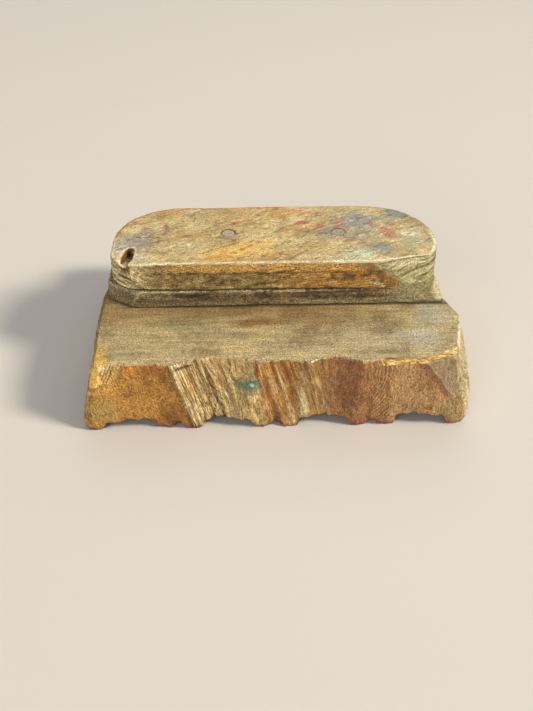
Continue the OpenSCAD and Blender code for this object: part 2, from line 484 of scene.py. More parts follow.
@dataclass
class WoodPiece:
    """One wooden piece: a copy of its CAD solid in fine mesh, worn, painted and finished."""

    node: str
    slot: str
    finish: WoodFinish
    voxel_mm: float
    seed: int
    rounding: int = 2
    merge_mm: float = 0.002
    skin: Skin = field(init=False, repr=False)
    coat: Coat = field(init=False, repr=False)

    def build(self, frame: dict[str, Any]) -> None:
        """Make the piece, dress it and hang it on the frame.

        Args:
            frame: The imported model.
        """
        mesh = self.fine_copy(frame["nodes"][self.node])
        self.skin = Skin(mesh, WoodNoise(self.seed))
        low, high = (np.array(corner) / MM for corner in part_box(self.node))
        self.skin.move(self.worn_shape(), low, high)
        self.paint()
        piece = add_object(f"worn_{self.node}", mesh)
        mesh.materials.append(self.finish.make())
        mesh.polygons.foreach_set("use_smooth", [True] * len(mesh.polygons))
        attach(piece, "root")
        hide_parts(self.node)
        LOG.info("%s: %d faces", piece.name, len(mesh.polygons))

    def fine_copy(self, solid: bpy.types.Object) -> bpy.types.Mesh:
        """Copy a CAD solid into an even fine mesh with softened edges.

        Args:
            solid: The CAD node's object.

        Returns:
            The new mesh.
        """
        shape = bmesh.new()
        shape.from_mesh(solid.data)
        bmesh.ops.remove_doubles(shape, verts=shape.verts, dist=self.merge_mm * MM)
        coarse = bpy.data.meshes.new(f"{self.node}_coarse")
        shape.to_mesh(coarse)
        shape.free()
        holder = add_object(coarse.name, coarse)
        remesh = holder.modifiers.new("fine", "REMESH")
        remesh.mode = "VOXEL"
        remesh.voxel_size = self.voxel_mm * MM
        bpy.context.view_layer.update()
        evened = holder.evaluated_get(bpy.context.evaluated_depsgraph_get())
        mesh = bpy.data.meshes.new_from_object(evened)
        mesh.name = f"worn_{self.node}"
        bpy.data.objects.remove(holder)
        bpy.data.meshes.remove(coarse)
        shape = bmesh.new()
        shape.from_mesh(mesh)
        self.refine(shape)
        soften(shape, shape.verts, self.rounding)
        shape.to_mesh(mesh)
        shape.free()
        mesh.update()
        return mesh

    def refine(self, shape: bmesh.types.BMesh) -> None:
        """Leave the mesh as it is; a piece with finer faces or rounder edges overrides this."""

    def worn_shape(self) -> Array:
        """Give the move of each point; each piece has its own."""
        raise NotImplementedError

    def paint(self) -> None:
        """Paint the points; each piece has its own colours."""
        raise NotImplementedError


@dataclass(frozen=True)
class ChopZone:
    """A stretch of the block's front between two leaning borders, with its own cut and colour."""

    left_top: float
    left_foot: float
    main_hex: str
    second_hex: str
    fibre: float
    stipple: float

    def left(self, height: Array) -> Array:
        """Give the place of the zone's left border at each height."""
        down = np.clip(1 - height / LEDGE_HEIGHT, 0, 1)
        return self.left_top + (self.left_foot - self.left_top) * down


@dataclass(frozen=True)
class LedgeSplit:
    """A splinter missing from the front edge of the ledge: a raw plane that dips to the front."""

    start: float
    run: float
    dip: float
    edge: float = -53.4

    def weight(self, places: Array) -> Array:
        """Tell how far each point lies on the raw plane.

        Args:
            places: Places in millimetres, one to a row.

        Returns:
            A weight from 0 to 1 for each point.
        """
        across, depth, height = places.T
        behind = (self.edge + (across - self.start) * self.run - depth) / math.hypot(1, self.run)
        off_plane = np.abs(height - LEDGE_HEIGHT + behind * math.tan(math.radians(self.dip)))
        begun = rise(self.start, self.start + 2.5, across)
        return rise(1, 0.5, off_plane) * rise(-0.3, 0.2, behind) * begun


@dataclass(frozen=True)
class EndChop:
    """The slanting chop that thins both boards of the handle at the front of their right end."""

    start: float = 43.0
    run: float = 0.24
    front: float = -15.3
    low: float = 31.4
    high: float = 38.6

    def depth(self, places: Array) -> Array:
        """Tell how far back the chop pushes each point.

        Args:
            places: Places in millimetres, one to a row.

        Returns:
            Millimetres along Y for each point.
        """
        across, depth, height = places.T
        deepening = rise(self.low, self.high, height)
        face = self.front + self.run * np.maximum(across - self.start, 0) * deepening
        return np.clip(face - depth, 0, None) * rise(self.start, self.start + 3, across)


FRONT_ZONES = (
    ChopZone(-90.0, -90.0, "#DDB05A", "#E8C67C", 0.05, 0.3),
    ChopZone(-67.5, -76.0, "#B88438", "#96642A", 0.04, 1.0),
    ChopZone(-40.5, -31.5, "#DAB872", "#BE9254", 0.90, 0.3),
    ChopZone(-27.0, -16.0, "#D2B274", "#B49256", 0.48, 0.7),
    ChopZone(-8.5, -2.0, "#BE8438", "#A66E30", 0.60, 0.4),
    ChopZone(7.5, 9.5, "#B18B50", "#96703C", 0.50, 0.5),
    ChopZone(20.5, 22.0, "#A06F40", "#865832", 0.08, 1.0),
    ChopZone(36.5, 37.0, "#9A6C3E", "#80562E", 0.08, 0.8),
    ChopZone(43.5, 45.5, "#B28A56", "#9C7246", 0.10, 0.9),
)
SPLIT_ZONE = FRONT_ZONES[2]

LEDGE_SPLITS = (LedgeSplit(34.6, 3 / 41, 45), LedgeSplit(58.1, 14 / 17.5, 12))
RAW_STRIP_FOOT = FaceLine(39.0, 27.3, -0.08, 1.0)
LEFT_FACET_EDGE = FaceLine(-71.6, 19.7, -0.587, 1.0)
GREY_FACET_EDGE = FaceLine(58.5, 27.9, 0.823, 0.568)
SLOT_LINE = FaceLine(-35.2, 28.3, 0.06, 1.0)
CORNER_CHOP_EDGE = FaceLine(75.4, 0.0, 1.0, 0.2)

FRONT_STAINS = tuple(Stain(*row) for row in (
    (-56, 28.6, 4.2, 2.4, "#D58A2E", 0.95),
    (-46, 27.5, 7, 3.4, "#A1621F", 0.8),
    (-66.5, 9, 8.5, 8.5, "#AE924E", 0.85),
    (-50, 12, 7, 6, "#C08A3C", 0.5),
    (-41, 6, 7, 10, "#84521F", 0.8),
    (-24.5, 24, 3, 8, "#A8743A", 0.6, 16),
    (-2, 26, 5, 5, "#C98A38", 0.7),
    (1, 5, 2, 6, "#7A4A26", 0.7, 12),
    (27, 28.6, 8, 2.4, "#8E5426", 0.7),
    (31, 14, 7, 7, "#8A5834", 0.5),
    (19.9, 9.8, 1.5, 1.6, "#4A3420", 0.75),
    (52, 16, 9, 9, "#BA945E", 0.6),
    (58, 22, 4, 6, "#96683E", 0.5, 25),
    (69, 8, 7, 7.5, "#9E8455", 0.85),
    (-75.6, 12, 2.6, 14, "#DEAE54", 0.8, -6),
))

DYE_SPOTS = tuple(Stain(*row) for row in (
    (-10.7, 19.6, 7, 4.2, "#8C8862", 0.9, 8),
    (-11.2, 19.4, 4.8, 2.2, "#63755C", 0.85, 12),
    (-8.5, 20.6, 2.6, 1.5, "#6A9078", 0.75, 20),
    (-9.1, 19.7, 1.3, 0.9, "#9ADDBA", 1),
))

FIBRE_BUNDLES = tuple(Stain(*row) for row in (
    (2.2, 21, 0.5, 10, "#F0E2B4", 1, 16.5),
    (6.4, 4.5, 2, 8, "#DCC990", 0.9, 6),
    (10.6, 10, 2.4, 11, "#E2D29E", 0.95, 8),
    (-37.4, 24, 2, 9, "#E0C88C", 0.85, 16),
    (-33.4, 9, 1.8, 10, "#E4D098", 0.9, 17),
    (-16.5, 24, 0.7, 3.5, "#E0CFA0", 0.8, 26),
    (-19, 14, 0.8, 4, "#E4D4A2", 0.8, 24),
    (-22.5, 9, 0.8, 5.5, "#E4D4A2", 0.8, 20),
    (-13, 10, 0.7, 4.5, "#DCC890", 0.7, 22),
))

LEDGE_STAINS = tuple(Stain(*row) for row in (
    (-6, -27, 15, 3.6, "#8A6430", 0.85),
    (-7.5, -30.5, 3, 2, "#C49A50", 0.85),
    (-38, -28, 15, 4.6, "#94906A", 0.8),
    (-14, -35, 8, 2.4, "#8E8A66", 0.7),
    (-52, -37, 12, 7, "#B4A274", 0.6),
    (-24, -37, 5, 2.2, "#C4A060", 0.7),
    (20, -27, 14, 5, "#A0805A", 0.7),
    (36, -40, 22, 8, "#C4B68E", 0.7),
    (64, -24, 9, 9, "#B4AE96", 0.8),
    (58, -38, 11, 8, "#C2BCA4", 0.75),
    (-66, -26, 4, 7, "#9E7A4A", 0.5),
))

RISER_STAINS = tuple(Stain(*row) for row in (
    (-3.8, 36, 6, 2, "#42281C", 0.9),
    (-35, 36, 11, 1.7, "#332A1A", 0.85),
    (36, 35, 9, 2.2, "#4A3822", 0.8),
))

GRIP_STAINS = tuple(Stain(*row) for row in (
    (-38, 8, 22, 15, "#AE9866", 0.55),
    (38, 12, 22, 18, "#ABA588", 0.75),
    (60, 4, 10, 14, "#B8B18A", 0.9),
    (-15, -6, 19, 8, "#E8BC60", 0.9, 12),
    (-6, 0, 14, 5, "#E4BE6C", 0.8, 12),
    (-24, -9.6, 10, 2.4, "#C8903A", 0.7, 6),
    (0, 27, 18, 4, "#CFA858", 0.7),
    (-40, 26, 9, 4, "#C89A58", 0.7),
    (-36, 0, 13, 7, "#D2C08C", 0.85, 10),
    (-30, 15, 9, 8, "#D8C590", 0.7, 30),
    (-56, 4, 9.5, 9, "#9C978E", 0.9),
    (-52, 12, 5, 3, "#A8967A", 0.7),
    (-61.5, -3, 3.4, 6, "#DAC8B4", 0.8),
    (-53, -8, 4.6, 3.6, "#C8BEAE", 0.7),
    (-44, 16, 1.4, 3.4, "#9A5638", 0.85),
    (-46.4, 4.2, 0.8, 3, "#A66A4A", 0.7),
    (-52, 20, 10, 3, "#BC9058", 0.6),
    (-12.8, 18.5, 6.8, 1.6, "#D08A44", 0.95, 34),
    (-22, 18.4, 1.9, 1.1, "#5C625C", 0.85),
    (-34, 25, 1.8, 1.2, "#7C7C6C", 0.8),
    (5.4, 11, 2.2, 2.4, "#D08A66", 0.7),
    (13, 17.6, 4.2, 2.4, "#BA5644", 0.95, 30),
    (20, 14.6, 5, 2.2, "#C8785C", 0.75, 10),
    (14, 26.8, 9, 2.2, "#D88E5C", 0.8),
    (37, 19.5, 11, 8, "#919A92", 0.85),
    (26.5, 9, 7, 4.4, "#868A82", 0.85),
    (29.6, 16.6, 2.6, 5, "#C2695A", 0.6, -20),
    (42.6, 16.4, 1.7, 2.8, "#B85A4C", 0.6),
    (48.8, 9, 4.4, 6.8, "#C0604F", 0.65, 35),
    (52.5, 14.6, 3, 2, "#C2604E", 0.5, 20),
    (31, 2.6, 9.4, 1.1, "#C87462", 0.65, -12),
    (44.5, -4, 7.4, 5, "#8B938C", 0.85),
    (54.5, 25, 7.5, 5, "#82948E", 0.85),
    (35.5, -8, 7, 5.4, "#CAD4B0", 0.9),
    (57, 7.6, 6.4, 2.4, "#E8E0C4", 0.85, -10),
    (59, -1.6, 3.4, 1.6, "#A6AC84", 0.8),
    (61.5, -3.8, 2.8, 1.2, "#DA9E6C", 0.8, 12),
))

END_CHOP = EndChop()
RIGHT_END_EDGE = FaceLine(40.0, GRIP_TOP, 1.0, 1.05)
RIGHT_GRAIN_BEND = FaceLine(46.0, GRIP_TOP, 1.0, 0.9)
DARK_WEDGE = FaceLine(36.6, GRIP_TOP, 1.0, 1.05)
CHIP_LINE = FaceLine(42.4, 40.8, 0.42, 1.0)
CRACK_LINE = FaceLine(-53.0, 7.4, 0.14, 1.0)


@dataclass
class BlockMarks:
    """Sides, tool marks and fibres of the block, told once for each point before the points move."""

    skin: Skin
    fibre_lean: float = 0.29
    flank_lean: float = 0.2
    chip_lean: float = 0.5
    chatter_middle: Pair = (26.0, 25.0)
    chatter_pitch: float = 1.25
    scoop_middle: Pair = (-62.0, 31.5)
    scoop_reach: Pair = (4.4, 9.6)
    scoop_lean: float = 0.25
    groove_pitch: float = 1.5
    worn_middle: Pair = (-71.5, -54.0)
    worn_reach: Pair = (11.0, 19.5)

    def __post_init__(self) -> None:
        """Keep the points as they are now, and read one kind of mark after another."""
        self.places, self.normals = self.skin.places, self.skin.normals
        self.wander = self.skin.lumps((3, 3, 3), 3)
        self.ragged = 0.5 * self.skin.lumps((3, 3, 3), 51)
        self.read_sides()
        self.read_zones()
        self.read_splits()
        self.read_fibres()
        self.read_chatter()
        self.read_corners()

    def read_sides(self) -> None:
        """Tell how far each point belongs to each side of the block."""
        across, depth, height = self.places.T
        right, back, up = self.normals.T
        out = np.maximum(np.abs(across) / HALF_LENGTH, np.abs(depth) / HALF_DEPTH)
        rim = rise(0.84, 0.9, out)
        self.front = rise(0.3, 0.5, -back) * rim
        self.ledge = rise(0.6, 0.85, up) * rise(27.5, 29, height)
        self.under = rise(0.3, 0.6, -up) * rise(8, 5, height)
        self.side = rise(0.4, 0.7, np.hypot(right, back)) * rim
        self.right = rise(0.5, 0.7, right) * rim
        self.brink = between(0.15, 0.4, 0.85, 0.97, up) * rise(27.5, 29.5, height)

    def read_zones(self) -> None:
        """Share out the front among its zones."""
        across, _, height = self.places.T
        shaky = across + 0.9 * self.skin.lumps((2, 6, 3))
        soft = np.select([across > 28, across > 16], [1.2, 4], 0.3)
        reached = [rise(-soft, soft, shaky - zone.left(height)) for zone in FRONT_ZONES]
        reached.append(np.zeros_like(shaky))
        self.shares = [here - after for here, after in itertools.pairwise(reached)]
        self.fibre = self.front * sum(share * zone.fibre for share, zone in zip(self.shares, FRONT_ZONES))
        self.stipple = sum(share * zone.stipple for share, zone in zip(self.shares, FRONT_ZONES))
        self.gritty = np.where(self.front > 0.3, self.stipple, 0.8)
        self.border = across - SPLIT_ZONE.left(height)
        self.bundles = [bundle.weight(across, height, 0.5 * self.ragged) for bundle in FIBRE_BUNDLES]

    def read_splits(self) -> None:
        """Find the raw wood where splinters left the edge of the ledge, and the slot under it."""
        places, wander = self.places, self.wander
        across, _, height = places.T
        over = RAW_STRIP_FOOT.past(across, height) - 0.25 * wander
        strip = self.front * rise(-0.2, 0.3, over) * rise(38, 46, across + 2 * wander)
        self.raw = np.maximum.reduce([strip, *(split.weight(places) for split in LEDGE_SPLITS)])
        self.raw_fibre = self.skin.noise.ridges(places, (7, 1.3, 1), 2)
        off_slot = np.abs(SLOT_LINE.past(across, height))
        self.slot = self.front * rise(4, 3, np.abs(across - SLOT_LINE.across)) * rise(0.75, 0.3, off_slot)

    def read_fibres(self) -> None:
        """Lay the fibres: upright in the block, leaning where it split, and lying in raw wood."""
        places = self.places
        across, _, height = places.T
        noise, flank = self.skin.noise, self.side * (1 - self.front)
        on_end = np.abs(self.normals[:, 0]) > np.abs(self.normals[:, 1])
        along = np.where(on_end[:, None], places[:, [1, 0, 2]] + 200, places)
        leaning = along + np.outer(height, (self.flank_lean, 0, 0))
        self.split_flank = flank * rise(0, 0.16, noise(leaning + 140, (13, 60, 110), 2))
        self.dark_flank = flank * rise(0.1, 0.26, noise(leaning + 260, (15, 60, 130), 2))
        self.fibre += 0.62 * self.split_flank
        down = LEDGE_HEIGHT - height
        upright = np.where(flank[:, None] > 0.5, leaning, places)
        upright[:, 0] -= self.fibre_lean * rise(26, 14, across) * down * self.front
        upright[:, 0] += 0.4 * self.skin.lumps((6, 12, 13), 7)
        self.coarse = noise.ridges(upright, (2.6, 12, 60), 2)
        self.fine = noise.ridges(upright + 40, (1.3, 12, 40), 1)
        crests = noise.ridges(upright + 80, (2.1, 12, 48), 1)
        self.cracks = rise(0.35, 0.9, crests) * (1.1 - self.stipple)
        tilted = places - np.outer(self.chip_lean * down, (1, 0, 0))
        self.chips = noise(tilted + 90, (1.9, 4, 5.5), 2) * (0.3 + self.stipple)
        lying = places[:, [2, 1, 0]] * (1, 1, 0.5)
        self.grain = np.where(self.raw[:, None] > 0.5, lying, upright)

    def read_chatter(self) -> None:
        """Find the ripples of a chattering chisel and the grooves of the scoop beside the left corner."""
        wander = self.wander
        across, _, height = self.places.T
        away = np.hypot(across - self.chatter_middle[0], height - self.chatter_middle[1])
        ripple = np.sin((away + 0.55 * wander) * math.tau / self.chatter_pitch)
        self.chatter = rise(35.5, 38.5, across) * rise(48, 43.5, across + 2 * wander) * ripple
        up = height - LEDGE_HEIGHT
        bent = across - self.scoop_middle[0] - self.scoop_lean * up
        out = np.hypot(bent / self.scoop_reach[0], (height - self.scoop_middle[1]) / self.scoop_reach[1])
        scoop = rise(1.06, 0.94, out + 0.06 * wander)
        bowed = bent + 0.02 * up ** 2 + 0.25 * wander
        self.scoop = scoop * self.front
        self.grooves = scoop * rise(2.4, 0, bent) * np.sin(bowed * math.tau / self.groove_pitch)
        self.off_scoop = 1 - scoop

    def read_corners(self) -> None:
        """Find the facets, chops and worn places at both front corners."""
        wander = self.wander
        across, depth, height = self.places.T
        over = LEFT_FACET_EDGE.past(across, height) + 0.3 * wander
        beside = self.front * rise(-62.5, -64.5, across) * self.off_scoop
        self.left_facet = beside * rise(-0.3, 0.3, over)
        self.left_line = beside * between(-2.2, -0.2, -0.1, 0.2, over)
        edge = GREY_FACET_EDGE.past(across, height) + 0.2 * wander
        self.grey_facet = self.front * rise(-0.25, 0.25, edge) * rise(13.2, 14.8, height + 0.5 * wander)
        self.grey_line = self.front * between(-4, -0.6, -0.1, 0.3, edge) * rise(10, 16, height)
        self.belly = between(9, 15, 19, 32, height)
        self.past_corner = CORNER_CHOP_EDGE.past(across, height)
        on_strip = self.past_corner + 1.4 * self.belly + 0.25 * wander
        self.corner_strip = self.side * rise(0, 0.5, on_strip) * rise(-40, -47, depth)
        away = np.hypot((across - self.worn_middle[0]) / self.worn_reach[0],
                        (depth - self.worn_middle[1]) / self.worn_reach[1])
        self.worn_corner = rise(1, 0.55, away + 0.08 * wander)


@dataclass
class PrintingBlock(WoodPiece):
    """The thick block, chopped round by hand, with the pattern carved in its underside.

    Places of marks, and how far they stand out or go in, are in millimetres.
    """

    coarse: float = 0.5
    fine: float = 0.3
    chips: float = 0.26
    cracks: float = 0.4
    lumps: float = 0.2
    stipple: float = 0.14
    chatter: float = 0.18
    grooves: float = 0.22
    scoop: float = 0.3
    raw: float = 0.5
    split_lip: float = 0.6
    bundles: float = 0.55
    slot_depth: float = 0.9
    dye_dent: float = 0.7
    grey_facet: float = 0.4
    left_facet: float = 0.35
    saw: float = 0.08
    swell: float = 0.12
    ledge_pits: float = 0.05
    ledge_wear: float = 0.2
    under_lumps: float = 0.12
    worn_corner: float = 1.7
    belly: float = 1.6
    foot_lumps: float = 0.8
    hem: float = 1.7
    dye_middle: Pair = (-10.0, 19.4)
    dye_reach: Pair = (4.4, 2.4)
    chop_front: float = -55.2
    chop_lean: float = 0.084
    chop_run: float = 1.1
    foot_top: float = 4.8
    foot_rim: float = 0.915
    foot_rounds: int = 9
    front_from: float = -44.0
    front_slope: float = -0.45
    marks: BlockMarks = field(init=False, repr=False)

    def refine(self, shape: bmesh.types.BMesh) -> None:
        """Round the foot, and split the faces of the front in four, where the camera sees each fibre.

        Args:
            shape: The block's mesh, which is changed.
        """
        foot = [point for point in shape.verts if point.co.z < self.foot_top * MM
                and max(abs(point.co.x) / HALF_LENGTH, abs(point.co.y) / HALF_DEPTH) > self.foot_rim * MM]
        soften(shape, foot, self.foot_rounds)
        shape.normal_update()
        front = [edge for face in shape.faces
                 if face.normal.y < self.front_slope and face.calc_center_median().y < self.front_from * MM
                 for edge in face.edges]
        bmesh.ops.subdivide_edges(shape, edges=list(dict.fromkeys(front)), cuts=1, use_grid_fill=True)

    def worn_shape(self) -> Array:
        """Cut chop marks, split fibres and saw marks into the block.

        Returns:
            The move of each point in millimetres.
        """
        skin = self.skin
        self.marks = marks = BlockMarks(skin)
        across, depth, height = skin.places.T
        lumps = skin.lumps((11, 11, 9))
        stippled = skin.lumps((1.3, 1.3, 1.7), 20)
        dye_dent = np.exp(-((across - self.dye_middle[0]) / self.dye_reach[0]) ** 2
                          - ((height - self.dye_middle[1]) / self.dye_reach[1]) ** 2)
        saw = skin.lumps((60, 1.9, 30))
        swell = skin.lumps((18, 14, 9))
        under = skin.lumps((4, 4, 4)) - 0.4
        push = marks.fibre * (self.coarse * (marks.coarse - 0.6) + self.fine * (marks.fine - 0.6)
                              + self.chips * marks.chips - self.cracks * marks.cracks)
        push += marks.side * (self.lumps * lumps + self.stipple * stippled * marks.gritty)
        push += marks.front * (
            self.chatter * marks.chatter + self.grooves * marks.grooves - self.scoop * marks.scoop
            + self.split_lip * between(-0.3, 0.3, 1.5, 5, marks.border)
            + self.bundles * np.max(marks.bundles, axis=0) - self.dye_dent * dye_dent)
        push += marks.raw * self.raw * (marks.raw_fibre - 0.75)
        push -= (self.slot_depth * marks.slot + self.grey_facet * marks.grey_facet
                 + self.left_facet * marks.left_facet)
        push += marks.ledge * (self.saw * saw + self.swell * swell + self.ledge_pits * stippled
                               - self.ledge_wear)
        push += marks.under * self.under_lumps * under
        offsets = skin.normals * push[:, None]
        offsets[:, 2] -= self.worn_corner * marks.worn_corner * rise(16, LEDGE_HEIGHT, height)
        chop = self.chop_front + self.chop_lean * height + self.chop_run * marks.past_corner
        offsets[:, 1] += np.clip(chop - depth, 0, None) * rise(-0.4, 0.4, marks.past_corner)
        offsets[:, 0] += self.belly * marks.belly * rise(69.5, 73.5, across) * rise(-12, -40, depth)
        foot = between(1.6, 3.4, 4.2, 9, height) * np.maximum(marks.side, marks.under)
        hem = self.hem * between(46, 58, 60, 63, across) * rise(-46, -50, depth)
        uneven = skin.lumps((2.2, 5, 9), 60)
        offsets[:, 2] += foot * (self.foot_lumps * uneven + hem)
        return offsets

    def paint(self) -> None:
        """Paint the block side by side, then its worn edges with a painted highlight, and dirt with
        painted shade in its hollows.
        """
        skin, marks, height = self.skin, self.marks, self.skin.places[:, 2]
        coat = Coat(skin, "#B0854A", skin.lumps((12, 12, 14), 15, 3), skin.lumps((1.7, 1.7, 2.6), 33))
        self.coat = coat
        self.paint_flanks()
        self.paint_fibres()
        self.paint_front()
        self.paint_ledge()
        self.paint_corners()
        self.paint_under()
        # Convex edges are painted pale: wear, and a painted highlight where edges catch the light.
        edge = skin.bulge(4)
        worn = rise(0.09, 0.30, edge + 0.05 * coat.fleck) * (1 - marks.under) * rise(3, 6, height)
        coat.lay("#E6D29C", skin.spread(worn * (1 - marks.grey_line) * 0.5, 1))
        # Dark paint in hollows, in the slot and on the carved ground of the underside: dirt, and painted
        # shade where light does not reach.
        grime_and_shade = 0.5 * rise(-0.06, -0.36, edge) + 0.35 * marks.under * rise(2.2, 3.4, height)
        grime_and_shade += 0.7 * marks.slot
        coat.lay(GRIME_AND_SHADE_HEX, skin.spread(np.clip(grime_and_shade, 0, 0.9), 1))
        rough = marks.gritty * marks.side - 0.5 * marks.grey_facet + 0.9 * marks.ledge + 0.6 * marks.under
        skin.keep(tint=coat.colours, grain=marks.grain, rough=np.clip(rough, 0, 1), sawn=marks.ledge * 0.8,
                  fibre=np.clip(marks.fibre + 0.4 * marks.raw + 0.3 * marks.ledge, 0, 1))

    def paint_flanks(self) -> None:
        """Paint the back and the ends, split and dark by turns, with the right end gone grey."""
        coat, marks = self.coat, self.marks
        cloud, fleck = coat.cloud, coat.fleck
        coat.lay("#905F30", rise(-0.1, 0.5, cloud + 0.4 * fleck))
        coat.lay("#C4A264", rise(0, -0.5, cloud) * 0.8)
        coat.lay("#C2A060", marks.split_flank)
        coat.lay("#966236", marks.dark_flank * 0.9)
        coat.lay("#C4B084", marks.right * 0.85)
        coat.lay("#A08756", marks.right * rise(0.1, 0.7, cloud + 0.6 * fleck) * 0.6)

    def paint_fibres(self) -> None:
        """Draw split fibres: pale on their crests, brown between them."""
        coat, marks, fibre = self.coat, self.marks, self.marks.fibre
        coat.lay("#E0CC96", fibre * rise(0.6, 0.95, marks.fine) * 0.5)
        coat.lay("#7C5828", fibre * rise(0.45, 0, marks.fine) * 0.6)
        coat.lay("#805A2C", fibre * rise(0.4, 0, marks.coarse) * 0.3)
        coat.lay("#5E3F1A", fibre * marks.cracks * 0.45)
        coat.lay("#E6D6A4", fibre * rise(0.3, 0.8, marks.chips) * 0.5)

    def paint_front(self) -> None:
        """Paint the chopped front zone by zone, with painted shade and highlights on its tool marks and a
        painted shadow beside the split's raised lip.
        """
        coat, marks, front = self.coat, self.marks, self.marks.front
        across, _, height = self.skin.places.T
        fleck = coat.fleck
        for share, zone in zip(marks.shares, FRONT_ZONES):
            coat.lay(zone.main_hex, share * front)
            coat.lay(zone.second_hex, share * front * rise(-0.1, 0.6, 0.5 * coat.cloud + 0.8 * fleck))
        coat.blot(FRONT_STAINS, (across, height), marks.ragged, front)
        self.paint_fibres()
        for bundle, weight in zip(FIBRE_BUNDLES, marks.bundles):
            coat.lay(bundle.hex_colour, front * weight * (0.8 + 0.5 * fleck))
        coat.blot(DYE_SPOTS, (across, height), 0.5 * marks.ragged, front)
        # A painted shadow on the left of the split zone's border, where its raised lip would cast shade,
        # darker towards the foot.
        foot_shade = 0.45 + 0.4 * rise(20, 6, height)
        coat.lay("#6A3A14", front * between(-2.6, -0.2, -0.1, 0.2, marks.border) * foot_shade)
        ticks = front * rise(26.6, 29.6, height + 1.5 * fleck) * rise(0.5, 0.9, marks.fine)
        coat.lay("#D8B26A", ticks * between(-58, -52, -42, -38, across) * 0.7)
        coat.lay("#C29A50", marks.scoop * 0.95)
        # The scoop's grooves get painted shade in their troughs and a painted highlight on their crests.
        coat.lay("#6E4C22", front * rise(-0.1, -0.8, marks.grooves) * 0.85)
        coat.lay("#E0C080", front * rise(0.3, 0.9, marks.grooves) * 0.35)
        # So do the ripples of the chattering chisel: painted shade in the troughs, painted highlight on
        # the crests.
        coat.lay("#643E1E", front * rise(-0.3, -0.9, marks.chatter) * 0.55)
        coat.lay("#C8A06E", front * rise(0.3, 0.9, marks.chatter) * 0.5)
        coat.lay("#744C2A", marks.grey_line * 0.95)
        coat.lay("#9C8662", marks.grey_facet * 0.95)
        coat.lay("#84704E", marks.grey_facet * rise(0, 0.7, coat.cloud + fleck) * 0.6)

    def paint_ledge(self) -> None:
        """Paint the sawn ledge, grey with handling, with its pale brink: worn, and a painted highlight
        that is strongest where the brink faces right.
        """
        coat, ledge, brink = self.coat, self.marks.ledge, self.marks.brink
        across, depth, _ = self.skin.places.T
        cloud, fleck = coat.cloud, coat.fleck
        coat.lay("#B2A074", ledge)
        coat.lay("#C2AE7C", ledge * rise(0, 0.6, cloud + 0.4 * fleck))
        coat.lay("#968458", ledge * rise(0, -0.6, cloud + 0.6 * fleck))
        coat.blot(LEDGE_STAINS, (across, depth), self.marks.ragged, ledge)
        back = between(-33, -18, 34, 38, depth)
        coat.lay("#866628", ledge * 0.6 * back * rise(62, 30, across + 8 * cloud))
        coat.lay("#C6B68A", ledge * 0.5 * rise(-46, -51, depth))
        # The brink is pale from wear and from a painted highlight, strongest on its right-facing stretch.
        coat.lay("#D2C296", brink * rise(0.3, 0.7, -self.skin.normals[:, 1]) * 0.5)
        coat.lay("#EFE4C4", brink * rise(0.2, 0.5, self.skin.normals[:, 0]) * 0.85)
        # A dark line at the riser's foot: dirt in the joint, and painted shade in the corner between the
        # parts.
        joint = rise(1, 0.2, np.abs(depth - HANDLE_FRONT)) * rise(-62, -58, across)
        coat.lay(GRIME_AND_SHADE_HEX, ledge * joint * 0.75)

    def paint_corners(self) -> None:
        """Paint the bright worn left corner, the pale chop at the right one and the raw splits, with
        painted highlights on the left facet and on the raw splits' upward faces.
        """
        coat, marks, height = self.coat, self.marks, self.skin.places[:, 2]
        coat.lay("#E2B75E", marks.worn_corner * rise(14, 26, height) * (1 - marks.scoop) * 0.95)
        # The left facet's bright ochre is worn wood, brightened further as a painted highlight.
        coat.lay("#FFCB6A", marks.left_facet * 0.95)
        coat.lay("#855A24", marks.left_line * 0.6)
        coat.lay("#CDB98C", marks.corner_strip * (0.8 + 0.3 * coat.fleck))
        coat.lay("#E8B050", marks.raw * 0.95)
        coat.lay("#B4742E", marks.raw * rise(0.5, 0.1, marks.raw_fibre) * 0.8)
        coat.lay("#F0D290", marks.raw * rise(0.6, 0.95, marks.raw_fibre) * 0.85)
        # Upward-facing raw wood is painted lighter: a painted highlight.
        coat.lay("#FFE2A0", marks.raw * rise(0.6, 0.9, self.skin.normals[:, 2]) * 0.6)

    def paint_under(self) -> None:
        """Paint the carved underside, with dried dye on the faces that print and along the foot."""
        coat, under, height = self.coat, self.marks.under, self.skin.places[:, 2]
        fleck = coat.fleck
        coat.lay("#7C5A38", under)
        printed = under * rise(1.2, 0.5, height)
        coat.lay("#6B2F3E", printed * (0.75 + 0.4 * coat.cloud))
        coat.lay("#3F3A4C", printed * rise(0.1, 0.7, fleck) * 0.6)
        foot = np.maximum(self.marks.side, under) * rise(2.1, 0.9, height + 0.8 * fleck)
        coat.lay("#8E3C5A", foot * 0.7)


